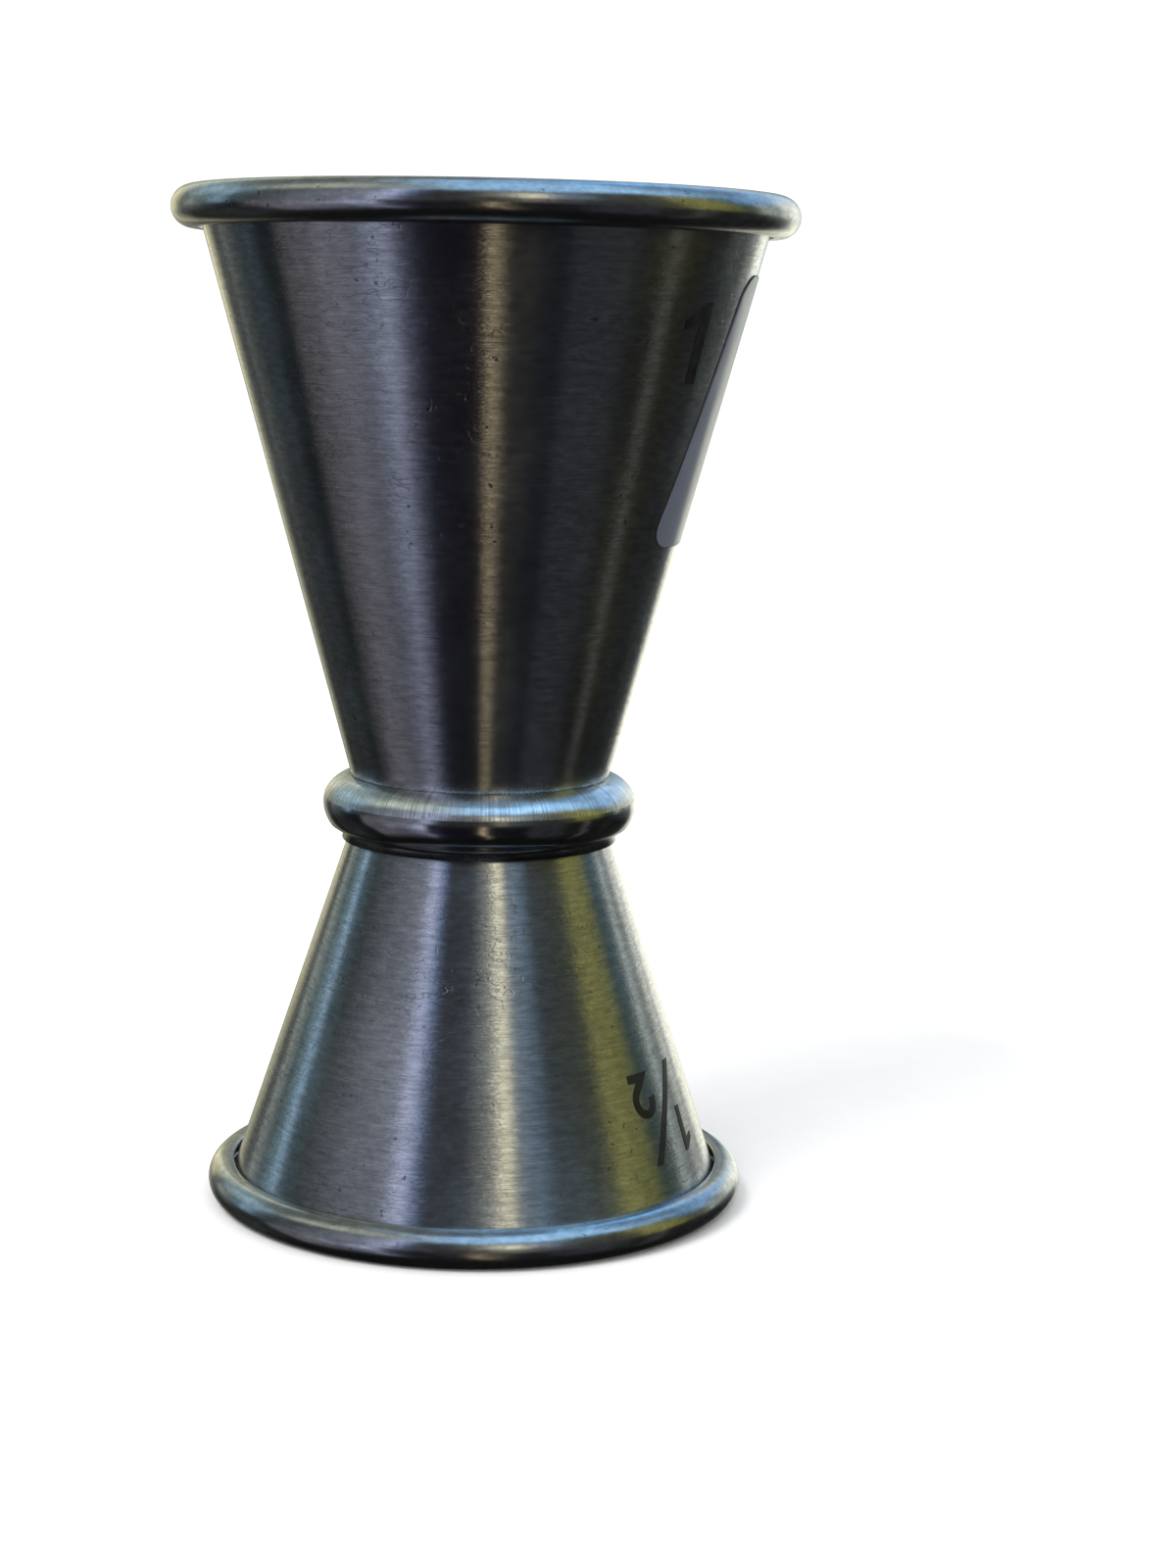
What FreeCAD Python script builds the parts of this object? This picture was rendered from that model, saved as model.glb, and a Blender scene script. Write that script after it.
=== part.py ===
import FreeCAD, Part
import math
import os
import Sketcher

# A two-ended bar jigger, standing on its half-ounce cup with the one-ounce cup on top.
# The origin is the centre of the circle that the lower rim stands on; +Z is up; millimetres.
# Each cup, mark and label is drawn with the cup's own rim in the plane z = 0, the cup's
# base below it and the front towards -Y, and its Placement then puts it on the jigger.
# Azimuth is counted about +Z from the front towards +X.

SIZES = [
    # name, value, what it is
    ("jigger_height", 74.0, "rim to rim"),
    ("sheet", 0.6, "thickness of the drawn steel"),
    ("upper_rim_radius", 22.5, "outside of the upper rolled rim"),
    ("upper_bead_radius", 1.48, "radius of the upper roll's section"),
    ("upper_shoulder_radius", 0.77, "bend from the upper wall into its roll"),
    ("upper_wall_angle", 15.3, "slope of the upper wall from the axis, degrees"),
    ("upper_depth", 44.85, "upper rim to the outside of that cup's base"),
    ("lower_rim_radius", 20.0, "outside of the lower rolled rim"),
    ("lower_bead_radius", 1.4, "radius of the lower roll's section"),
    ("lower_shoulder_radius", 0.7, "bend from the lower wall into its roll"),
    ("lower_wall_angle", 18.36, "slope of the lower wall from the axis, degrees"),
    ("lower_depth", 28.85, "lower rim to the outside of that cup's base"),
    ("base_corner_radius", 1.6, "outside bend between base and wall"),
    ("curl_sweep", 200.0, "how far each rim rolls round, degrees"),
    ("land_width", 0.4, "flat worn on the crest of each rim"),
    ("collar_sheet", 0.5, "thickness of the collar"),
    ("collar_fit", 0.03, "gap between the collar's edges and the cups"),
    ("collar_top", 31.85, "height of the collar's upper edge"),
    ("collar_crease_height", 30.45, "height of the crease under its upper face"),
    ("collar_crease_radius", 11.45, "radius of that crease"),
    ("collar_ridge_height", 28.15, "height of the ridge under its front face"),
    ("collar_ridge_radius", 10.98, "radius of that ridge"),
    ("collar_top_dome", 2.4, "section radius of its domed upper face"),
    ("collar_front_dome", 2.6, "section radius of its domed front face"),
    ("collar_lip_top", 27.52, "height where the thin lip starts"),
    ("collar_bottom", 27.1, "height of the lip's lower edge"),
    ("collar_lip_sheet", 0.4, "thickness of the lip"),
    ("nugget_radius", 1.5, "radius of each projection weld"),
    ("nugget_circle", 4.2, "radius of the circle that the welds lie on"),
    ("ink_thickness", 0.03, "thickness of the printed marks"),
    ("one_azimuth", 53.6, "where the stem of the 1 is, degrees"),
    ("one_middle", -10.4, "height of its middle from the upper rim"),
    ("one_tall", 5.55, "height of the 1"),
    ("one_stroke", 1.08, "width of its strokes"),
    ("half_azimuth", 59.5, "where the middle of the 1/2 is, degrees"),
    ("half_middle", -8.35, "height of its middle from the lower rim"),
    ("half_tall", 3.2, "height of its digits"),
    ("half_stroke", 0.6, "width of its strokes"),
    ("half_aside", 2.12, "sideways from its middle to each digit"),
    ("slash_rise", 6.6, "height of its slash"),
    ("slash_run", 4.6, "how far the slash leans over its height"),
    ("label_azimuth", 102.7, "where the middle of the label is, degrees"),
    ("label_middle", -15.2, "height of its middle from the upper rim"),
    ("label_width", 21.3, "width of the label, straight across"),
    ("label_tall", 19.1, "height of the label"),
    ("label_corner", 1.8, "corner radius of the label"),
    ("label_thickness", 0.08, "thickness of the label's film"),
    ("glue_thickness", 0.03, "thickness of the glue under it"),
    ("glue_margin", 0.07, "how far the glue shows past the film"),
]
NUGGETS = 3
TOOL_REACH = 40.0     # a cutting outline reaches from the axis to well outside the widest rim

# The digits' proportions, in stroke widths.
FLAG_REACH = 1.5      # the tip of the 1's flag, left of its stem
FLAG_TOP = 1.1        # the tip's upper corner, below the top of the stem
FLAG_BOTTOM = 1.75    # the tip's lower corner, below the top of the stem
FLAG_ROOT = 1.3       # where the flag's underside meets the stem, below its top
STEM_CUT = 0.3        # where the flag's upper side leaves the top of the stem
SLASH_HALF = 0.62     # half of the slash's width
BOWL_OF_TALL = 0.39   # the 2's bowl radius, as a share of its height
BOWL_LEAVE = 45       # where the 2's bowl runs into its stem, degrees below level
BOWL_END = 190        # where the bowl starts, degrees round from level

# Corners of the collar's hollow, in sheet thicknesses from the corners of its faces.
HOLLOW_EDGE_DOWN = 1.1
HOLLOW_CREASE_IN = 1.1
HOLLOW_CREASE_DOWN = 0.4
HOLLOW_RIDGE_IN = 0.9
HOLLOW_RIDGE_UP = 0.4
HOLLOW_START = 7.5    # a radius inside both cups' walls, where its outline is closed

LABEL_SKIN = 0.7      # the label's skin reaches this share of its height up and down

UP = FreeCAD.Vector(0, 0, 1)
FRONT_PLANE = FreeCAD.Placement(FreeCAD.Vector(), FreeCAD.Rotation(FreeCAD.Vector(1, 0, 0), 90))
UPSIDE_DOWN = FreeCAD.Placement(FreeCAD.Vector(), FreeCAD.Rotation(FreeCAD.Vector(0, 1, 0), 180))
START, END, CENTRE = 1, 2, 3     # point numbers on a sketched edge
ORIGIN = (-1, START)
AXIS = -2                        # a sketch's own vertical axis

doc = FreeCAD.newDocument("bar_jigger")
sheet = doc.addObject("Spreadsheet::Sheet", "Sizes")
for row, (name, amount, meaning) in enumerate(SIZES, start=1):
    sheet.set(f"A{row}", name)
    sheet.set(f"B{row}", str(amount))
    sheet.setAlias(f"B{row}", name)
    sheet.set(f"C{row}", meaning)
doc.recompute()


# ---------------------------------------------------------------- sizes

class Size:
    """A number worked out from the sheet, together with the expression that says how."""

    def __init__(self, value, text):
        self.value = float(value)
        self.text = text

    def __add__(self, other):
        other = as_size(other)
        return Size(self.value + other.value, f"({self.text} + {other.text})")

    def __sub__(self, other):
        other = as_size(other)
        return Size(self.value - other.value, f"({self.text} - {other.text})")

    def __mul__(self, other):
        other = as_size(other)
        return Size(self.value * other.value, f"{self.text} * {other.text}")

    def __truediv__(self, other):
        other = as_size(other)
        return Size(self.value / other.value, f"{self.text} / ({other.text})")

    def __neg__(self):
        return self * -1

    def cosine(self):
        return Size(math.cos(math.radians(self.value)), f"cos({self.text} * 1 deg)")

    def tangent(self):
        return Size(math.tan(math.radians(self.value)), f"tan({self.text} * 1 deg)")

    def root(self):
        return Size(math.sqrt(self.value), f"sqrt({self.text})")


def as_size(number):
    return number if isinstance(number, Size) else Size(number, f"({number})")


def size(name):
    """One of the sheet's driving dimensions."""
    return Size(sheet.get(name), f"Sizes.{name}")


# ---------------------------------------------------------------- sketching

def bind(sketch, kind, where, amount):
    """Adds a dimension to a sketch and ties it to the sheet."""
    start = math.radians(amount.value) if kind == "Angle" else amount.value
    index = sketch.addConstraint(Sketcher.Constraint(kind, *where, start))
    sketch.setExpression(f"Constraints[{index}]", amount.text)


def pin(sketch, edge, point, place):
    """Holds one point of an edge at a place given as two sizes."""
    bind(sketch, "DistanceX", (*ORIGIN, edge, point), place[0])
    bind(sketch, "DistanceY", (*ORIGIN, edge, point), place[1])


def join(sketch, kind, first, last):
    sketch.addConstraint(Sketcher.Constraint(kind, *first, *last))


def flat(place):
    return FreeCAD.Vector(as_size(place[0]).value, as_size(place[1]).value, 0)


def line(sketch, first, last):
    return sketch.addGeometry(Part.LineSegment(flat(first), flat(last)))


def arc(sketch, centre, radius, first_angle, last_angle):
    """An arc drawn anticlockwise between two angles in degrees."""
    circle = Part.Circle(flat(centre), UP, as_size(radius).value)
    return sketch.addGeometry(
        Part.ArcOfCircle(circle, math.radians(first_angle), math.radians(last_angle)))


def domed(sketch, first, last, radius):
    """A clockwise arc of a given radius from one place to another, less than half a turn."""
    a, b = flat(first), flat(last)
    half = (b - a) * 0.5
    reach = math.sqrt(radius.value ** 2 - half.Length ** 2)
    centre = a + half + FreeCAD.Vector(half.y, -half.x, 0) * (reach / half.Length)
    angles = [math.degrees(math.atan2(p.y - centre.y, p.x - centre.x)) for p in (b, a)]
    return arc(sketch, (centre.x, centre.y), radius, *angles)


def polygon(sketch, corners):
    """A closed outline of straight edges with every corner held."""
    count = len(corners)
    edges = [line(sketch, corners[i], corners[(i + 1) % count]) for i in range(count)]
    for i in range(count):
        join(sketch, "Coincident", (edges[i], END), (edges[(i + 1) % count], START))
        pin(sketch, edges[i], START, corners[i])


def body_sketch(body, name):
    """A sketch on the upright plane of a body, x outwards from the axis and y upwards."""
    plane = next(item for item in body.Origin.OriginFeatures if item.Role == "XZ_Plane")
    sketch = body.newObject("Sketcher::SketchObject", name)
    sketch.AttachmentSupport = [(plane, "")]
    sketch.MapMode = "FlatFace"
    return sketch


def turned(body, kind, name, sketch):
    """Turns a sketch all the way round the body's axis, adding or removing metal."""
    feature = body.newObject(f"PartDesign::{kind}", name)
    feature.Profile = sketch
    feature.ReferenceAxis = (sketch, ["V_Axis"])
    feature.Angle = 360
    body.Tip = feature


def named(kind, label):
    item = doc.addObject(kind, label)
    item.Label = label
    return item


# ---------------------------------------------------------------- the two cups

def wall_outside(cup, height):
    """Radius of a cup's outer wall at a height from its own rim."""
    angle = size(f"{cup}_wall_angle")
    shoulder = size(f"{cup}_shoulder_radius")
    crown = size(f"{cup}_rim_radius") - size(f"{cup}_bead_radius")
    crest_to_height = as_size(height) + shoulder - wear(cup)
    return crown - (shoulder - size("sheet")) / angle.cosine() + crest_to_height * angle.tangent()


def wear(cup):
    """How far the unworn roll would stand above the flat on its crest."""
    roll = size(f"{cup}_bead_radius")
    half_land = size("land_width") / 2
    return roll - (roll * roll - half_land * half_land).root()


def cup_face(sketch, cup, bead, shoulder, heel, base):
    """One face of a cup's sheet: roll, bend into the wall, wall, heel and base."""
    angle = size(f"{cup}_wall_angle").value
    lean = math.radians(angle)
    crown = (size(f"{cup}_rim_radius") - size(f"{cup}_bead_radius")).value
    crest = wear(cup).value
    bead_centre = (crown, crest - size(f"{cup}_bead_radius").value)
    bend_centre = (crown, crest - size(f"{cup}_shoulder_radius").value)
    wall_top = (bend_centre[0] - shoulder * math.cos(lean), bend_centre[1] + shoulder * math.sin(lean))
    foot_height = base + heel - heel * math.sin(lean)
    wall_foot = (wall_top[0] - (wall_top[1] - foot_height) * math.tan(lean), foot_height)
    heel_centre = (wall_foot[0] - heel * math.cos(lean), base + heel)

    roll = arc(sketch, bead_centre, bead, 90 - size("curl_sweep").value, 90)
    bend = arc(sketch, bend_centre, shoulder, 90, 180 - angle)
    wall = line(sketch, wall_top, wall_foot)
    turn = arc(sketch, heel_centre, heel, -90, -angle)
    floor = line(sketch, (heel_centre[0], base), (0, base))
    join(sketch, "Tangent", (roll, END), (bend, START))
    join(sketch, "Tangent", (bend, END), (wall, START))
    join(sketch, "Tangent", (wall, END), (turn, END))
    join(sketch, "Tangent", (turn, START), (floor, START))
    join(sketch, "PointOnObject", (floor, END), (AXIS,))
    sketch.addConstraint(Sketcher.Constraint("Horizontal", floor))
    return roll, bend, wall, turn, floor


def bridge(sketch, first, last):
    """A straight edge from the end of one edge to the end of another."""
    ends = [sketch.getPoint(*point) for point in (first, last)]
    edge = line(sketch, *[(end.x, end.y) for end in ends])
    join(sketch, "Coincident", (edge, START), first)
    join(sketch, "Coincident", (edge, END), last)
    return edge


def make_cup(cup):
    """A drawn cup: flat base, straight wall and a rim rolled outwards and back."""
    thickness = size("sheet")
    bead = size(f"{cup}_bead_radius")
    shoulder = size(f"{cup}_shoulder_radius")
    heel = size("base_corner_radius")
    depth = size(f"{cup}_depth")
    body = named("PartDesign::Body", f"{cup}_cup")
    section = body_sketch(body, f"{cup}_section")
    inner = cup_face(section, cup, bead.value, shoulder.value, (heel - thickness).value,
                     (thickness - depth).value)
    outer = cup_face(section, cup, (bead - thickness).value, (shoulder - thickness).value,
                     heel.value, -depth.value)
    roll, bend, wall, turn, floor = inner
    outer_roll, outer_bend, _, outer_turn, outer_floor = outer
    free_edge = bridge(section, (roll, START), (outer_roll, START))
    bridge(section, (floor, END), (outer_floor, END))

    for one, other in ((roll, outer_roll), (bend, outer_bend), (turn, outer_turn)):
        join(section, "Coincident", (one, CENTRE), (other, CENTRE))
    join(section, "PointOnObject", (roll, CENTRE), (free_edge,))
    join(section, "Vertical", (roll, CENTRE), (bend, CENTRE))
    pin(section, roll, CENTRE, (size(f"{cup}_rim_radius") - bead, wear(cup) - bead))
    bind(section, "Radius", (roll,), bead)
    bind(section, "Radius", (outer_roll,), bead - thickness)
    bind(section, "Radius", (bend,), shoulder)
    bind(section, "Radius", (turn,), heel - thickness)
    bind(section, "Radius", (outer_turn,), heel)
    bind(section, "DistanceY", (outer_floor, END, *ORIGIN), depth)
    bind(section, "Angle", (wall, END, AXIS, START), size(f"{cup}_wall_angle"))
    bind(section, "Angle", (free_edge, START, AXIS, START), size("curl_sweep") - 180)
    turned(body, "Revolution", f"{cup}_shell", section)

    land = body_sketch(body, f"{cup}_land_section")
    rim = size(f"{cup}_rim_radius")
    polygon(land, [(rim - bead * 4, as_size(0)), (rim, as_size(0)), (rim, bead), (rim - bead * 4, bead)])
    turned(body, "Groove", f"{cup}_land", land)
    return body


# ---------------------------------------------------------------- the collar and the welds

def make_collar():
    """A hollow ring pressed over the waist: domed upper face, domed front, thin lip below."""
    body = named("PartDesign::Body", "collar")
    fit = size("collar_fit")
    top = size("collar_top")
    bottom = size("collar_bottom")
    lip_top = size("collar_lip_top")
    lip = size("collar_lip_sheet")
    waist = size("lower_depth")
    crease = (size("collar_crease_radius"), size("collar_crease_height"))
    ridge = (size("collar_ridge_radius"), size("collar_ridge_height"))
    edge = (wall_outside("upper", top - size("jigger_height")) + fit, top)
    foot = wall_outside("lower", -bottom) + fit
    waist_corner = (wall_outside("lower", -waist) + fit, waist)

    ring = body_sketch(body, "collar_section")
    upper_face = domed(ring, edge, crease, size("collar_top_dome"))
    front_face = domed(ring, crease, ridge, size("collar_front_dome"))
    straight = [ridge, (wall_outside("lower", -lip_top) + fit + lip, lip_top), (foot + lip, bottom),
                (foot, bottom), waist_corner, edge]
    sides = [line(ring, straight[i], straight[i + 1]) for i in range(len(straight) - 1)]
    join(ring, "Coincident", (upper_face, START), (front_face, END))
    join(ring, "Coincident", (front_face, START), (sides[0], START))
    join(ring, "Coincident", (sides[-1], END), (upper_face, END))
    for first, last in zip(sides, sides[1:]):
        join(ring, "Coincident", (first, END), (last, START))
    for side, place in zip(sides, straight):
        pin(ring, side, START, place)
    pin(ring, upper_face, START, crease)
    pin(ring, upper_face, END, edge)
    bind(ring, "Radius", (upper_face,), size("collar_top_dome"))
    bind(ring, "Radius", (front_face,), size("collar_front_dome"))
    turned(body, "Revolution", "collar_ring", ring)

    thickness = size("collar_sheet")
    hollow = body_sketch(body, "collar_hollow_section")
    polygon(hollow, [(as_size(HOLLOW_START), top - thickness),
                     (edge[0] + thickness, top - thickness * HOLLOW_EDGE_DOWN),
                     (crease[0] - thickness * HOLLOW_CREASE_IN, crease[1] - thickness * HOLLOW_CREASE_DOWN),
                     (ridge[0] - thickness * HOLLOW_RIDGE_IN, ridge[1] + thickness * HOLLOW_RIDGE_UP),
                     (foot + lip, lip_top + thickness),
                     (as_size(HOLLOW_START), lip_top + thickness)])
    turned(body, "Groove", "collar_hollow", hollow)
    return body


def make_welds():
    """Projection welds in the narrow gap between the two bases."""
    gap = size("jigger_height") - size("upper_depth") - size("lower_depth")
    nuggets = []
    for i in range(NUGGETS):
        nugget = doc.addObject("Part::Cylinder", f"weld_nugget_{i + 1}")
        nugget.setExpression("Radius", size("nugget_radius").text)
        nugget.setExpression("Height", gap.text)
        angle = f"({360 * i / NUGGETS} * 1 deg)"
        nugget.setExpression("Placement.Base.x", f"{size('nugget_circle').text} * cos{angle}")
        nugget.setExpression("Placement.Base.y", f"{size('nugget_circle').text} * sin{angle}")
        nugget.setExpression("Placement.Base.z", size("lower_depth").text)
        nuggets.append(nugget)
    welds = named("Part::Compound", "base_welds")
    welds.Links = nuggets
    return welds


# ---------------------------------------------------------------- marks and label

def wall_skin(name, cup, lift, thickness, middle, reach):
    """A thin cone frustum lying on a cup's wall, lifted off it, around a height."""
    low = middle - reach
    high = middle + reach
    shells = []
    for part, offset in (("back", lift), ("face", lift + thickness)):
        cone = doc.addObject("Part::Cone", f"{name}_{part}")
        outwards = offset / size(f"{cup}_wall_angle").cosine()
        cone.setExpression("Radius1", (wall_outside(cup, low) + outwards).text)
        cone.setExpression("Radius2", (wall_outside(cup, high) + outwards).text)
        cone.setExpression("Height", (reach * 2).text)
        cone.setExpression("Placement.Base.z", low.text)
        shells.append(cone)
    skin = doc.addObject("Part::Cut", f"{name}_skin")
    skin.Tool, skin.Base = shells
    return skin


def front_sketch(name):
    sketch = doc.addObject("Sketcher::SketchObject", name)
    sketch.Placement = FRONT_PLANE
    return sketch


def cutter(sketch):
    """Pushes a front outline straight out through the wall."""
    prism = doc.addObject("Part::Extrusion", f"{sketch.Name}_prism")
    prism.Base = sketch
    prism.DirMode = "Normal"
    prism.LengthFwd = TOOL_REACH
    prism.Solid = True
    return prism


def on_wall(label, skin, cutters, placement):
    """The piece of a wall skin that lies inside the cutters, turned to its place."""
    tool = cutters[0]
    if len(cutters) > 1:
        tool = doc.addObject("Part::MultiFuse", f"{label}_strokes")
        tool.Shapes = cutters
    piece = named("Part::Common", label)
    piece.Base = skin
    piece.Tool = tool
    piece.Placement = placement
    return piece


def draw_one(name, stroke, tall, right, middle):
    """The digit 1: an upright stem with a flag; right is the stem's middle."""
    sketch = front_sketch(name)
    top = middle + tall / 2
    foot = middle - tall / 2
    left_side = right - stroke / 2
    right_side = right + stroke / 2
    tip = left_side - stroke * FLAG_REACH
    polygon(sketch, [(left_side, foot), (right_side, foot), (right_side, top),
                     (left_side + stroke * STEM_CUT, top), (tip, top - stroke * FLAG_TOP),
                     (tip, top - stroke * FLAG_BOTTOM), (left_side, top - stroke * FLAG_ROOT)])
    return sketch


def draw_two(name, stroke, tall, aside, middle):
    """The digit 2: a bowl, a stem leaning at 45 degrees and a flat foot."""
    sketch = front_sketch(name)
    outer = tall * BOWL_OF_TALL
    inner = outer - stroke
    centre = (aside, middle + tall / 2 - outer)
    foot = middle - tall / 2
    slant = math.cos(math.radians(BOWL_LEAVE))
    outer_leave = (centre[0] + outer * slant, centre[1] - outer * slant)
    inner_leave = (centre[0] + inner * slant, centre[1] - inner * slant)
    heel = (inner_leave[0] - (inner_leave[1] - foot), foot)
    toe = (aside + outer, foot)
    toe_top = (aside + outer, foot + stroke)
    crook = (outer_leave[0] - (outer_leave[1] - foot - stroke), foot + stroke)

    outer_bowl = arc(sketch, centre, outer, -BOWL_LEAVE, BOWL_END)
    inner_bowl = arc(sketch, centre, inner, -BOWL_LEAVE, BOWL_END)
    places = [outer_leave, crook, toe_top, toe, heel, inner_leave]
    sides = [line(sketch, places[i], places[i + 1]) for i in range(len(places) - 1)]
    join(sketch, "Coincident", (outer_bowl, CENTRE), (inner_bowl, CENTRE))
    join(sketch, "Coincident", (outer_bowl, START), (sides[0], START))
    join(sketch, "Coincident", (inner_bowl, START), (sides[-1], END))
    for first, last in zip(sides, sides[1:]):
        join(sketch, "Coincident", (first, END), (last, START))
    for side, place in zip(sides[1:], places[1:]):
        pin(sketch, side, START, place)
    cap = bridge(sketch, (outer_bowl, END), (inner_bowl, END))
    pin(sketch, outer_bowl, CENTRE, centre)
    bind(sketch, "Radius", (outer_bowl,), outer)
    bind(sketch, "Radius", (inner_bowl,), inner)
    join(sketch, "PointOnObject", (outer_bowl, CENTRE), (cap,))
    for bowl, leave in ((outer_bowl, outer_leave), (inner_bowl, inner_leave)):
        bind(sketch, "DistanceX", (*ORIGIN, bowl, START), leave[0])
    bind(sketch, "Angle", (cap, START, AXIS, START), as_size(270 - BOWL_END))
    return sketch


def draw_slash(name, stroke, rise, run, middle):
    sketch = front_sketch(name)
    half_width = stroke * SLASH_HALF
    bottom = middle - rise / 2
    top = middle + rise / 2
    polygon(sketch, [(-run / 2 - half_width, bottom), (-run / 2 + half_width, bottom),
                     (run / 2 + half_width, top), (run / 2 - half_width, top)])
    return sketch


def draw_label(name, margin):
    """A rectangle with rounded corners, grown by a margin on every side."""
    sketch = front_sketch(name)
    middle = size("label_middle")
    corner = size("label_corner")
    across = size("label_width") / 2 - corner
    along = size("label_tall") / 2 - corner
    radius = corner + margin
    centres = [(across, middle + along), (-across, middle + along),
               (-across, middle - along), (across, middle - along)]
    bends = [arc(sketch, centre, radius, 90 * i, 90 * i + 90) for i, centre in enumerate(centres)]
    for bend, centre in zip(bends, centres):
        pin(sketch, bend, CENTRE, centre)
        bind(sketch, "Radius", (bend,), radius)
    for i, bend in enumerate(bends):
        after = bends[(i + 1) % 4]
        ends = [sketch.getPoint(bend, END), sketch.getPoint(after, START)]
        side = line(sketch, *[(end.x, end.y) for end in ends])
        join(sketch, "Tangent", (bend, END), (side, START))
        join(sketch, "Tangent", (side, END), (after, START))
    return sketch


def turned_to(azimuth, placement):
    """A placement on the jigger, then turned about its axis to an azimuth."""
    spin = FreeCAD.Placement(FreeCAD.Vector(), FreeCAD.Rotation(UP, size(azimuth).value))
    return spin.multiply(placement)


def make_mark_one(placement):
    ink = size("ink_thickness")
    tall, stroke, middle = size("one_tall"), size("one_stroke"), size("one_middle")
    skin = wall_skin("one", "upper", as_size(0), ink, middle, tall)
    digit = draw_one("one_digit", stroke, tall, as_size(0), middle)
    return on_wall("one_ounce_mark", skin, [cutter(digit)], turned_to("one_azimuth", placement))


def make_mark_half(placement):
    ink = size("ink_thickness")
    stroke, middle, tall = size("half_stroke"), size("half_middle"), size("half_tall")
    aside, rise = size("half_aside"), size("slash_rise")
    skin = wall_skin("half", "lower", as_size(0), ink, middle, rise)
    strokes = [
        draw_one("half_numerator", stroke, tall, -aside, middle + tall / 2),
        draw_slash("half_slash", stroke, rise, size("slash_run"), middle),
        draw_two("half_denominator", stroke, tall, aside, middle - tall / 2),
    ]
    cutters = [cutter(sketch) for sketch in strokes]
    return on_wall("half_ounce_mark", skin, cutters, turned_to("half_azimuth", placement))


def make_label_layer(label, lift, thickness, margin, placement):
    reach = size("label_tall") * LABEL_SKIN
    skin = wall_skin(label, "upper", lift, thickness, size("label_middle"), reach)
    outline = draw_label(f"{label}_outline", margin)
    return on_wall(label, skin, [cutter(outline)], turned_to("label_azimuth", placement))


# ---------------------------------------------------------------- assembly

upper_place = FreeCAD.Placement(FreeCAD.Vector(0, 0, size("jigger_height").value), FreeCAD.Rotation())
lower_place = UPSIDE_DOWN

upper_cup = make_cup("upper")
upper_cup.Placement = upper_place
lower_cup = make_cup("lower")
lower_cup.Placement = lower_place
glue = size("glue_thickness")
pieces = [
    upper_cup,
    lower_cup,
    make_collar(),
    make_welds(),
    make_mark_one(upper_place),
    make_mark_half(lower_place),
    make_label_layer("label_adhesive", as_size(0), glue, size("glue_margin"), upper_place),
    make_label_layer("label_film", glue, size("label_thickness"), as_size(0), upper_place),
]
doc.recompute()

failed = [item.Name for item in doc.Objects if "Invalid" in item.State or "Error" in item.State]
failed += [piece.Label for piece in pieces if piece.Shape.isNull() or not piece.Shape.isValid()]
if failed:
    raise RuntimeError(f"not built: {failed}")
os.makedirs("parts", exist_ok=True)
for piece in pieces:
    piece.Shape.exportStep(f"parts/{piece.Label}.step")
    box = piece.Shape.optimalBoundingBox(False)
    print(f"{piece.Label}: {len(piece.Shape.Solids)} solid(s), {piece.Shape.Volume:.2f} mm3, "
          f"x {box.XMin:.2f}..{box.XMax:.2f}, z {box.ZMin:.2f}..{box.ZMax:.2f}")
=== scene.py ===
import math

import bmesh
import bpy
from mathutils import Matrix, Vector


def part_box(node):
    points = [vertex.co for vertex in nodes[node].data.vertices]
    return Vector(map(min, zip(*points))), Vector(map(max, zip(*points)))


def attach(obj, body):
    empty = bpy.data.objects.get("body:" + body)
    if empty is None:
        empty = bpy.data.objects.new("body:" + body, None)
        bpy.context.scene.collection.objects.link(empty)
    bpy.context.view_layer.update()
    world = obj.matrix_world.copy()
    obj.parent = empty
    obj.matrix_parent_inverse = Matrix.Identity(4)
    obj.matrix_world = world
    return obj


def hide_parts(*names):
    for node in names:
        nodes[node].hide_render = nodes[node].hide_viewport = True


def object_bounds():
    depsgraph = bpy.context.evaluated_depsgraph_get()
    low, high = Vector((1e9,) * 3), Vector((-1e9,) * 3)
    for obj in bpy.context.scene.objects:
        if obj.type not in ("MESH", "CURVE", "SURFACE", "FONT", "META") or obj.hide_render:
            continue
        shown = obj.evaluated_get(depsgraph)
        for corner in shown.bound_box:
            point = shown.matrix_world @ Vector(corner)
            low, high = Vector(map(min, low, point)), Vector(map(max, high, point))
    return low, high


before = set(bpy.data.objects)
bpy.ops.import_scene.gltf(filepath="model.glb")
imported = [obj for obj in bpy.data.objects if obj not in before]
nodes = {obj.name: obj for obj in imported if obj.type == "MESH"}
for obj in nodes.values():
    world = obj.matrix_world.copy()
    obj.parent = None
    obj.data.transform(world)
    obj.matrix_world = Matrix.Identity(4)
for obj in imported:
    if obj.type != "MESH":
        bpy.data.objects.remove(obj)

# A two-ended bar jigger in brushed steel. The cups and the collar are turned here as fine
# meshes on the frame's own sizes; the marks, the label and the welds are the frame's solids.

cad_low, cad_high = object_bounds()
MM = 0.001
QUARTER = math.pi / 2
STEPS_ROUND = 256
ARC_STEP = math.radians(6)

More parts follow.
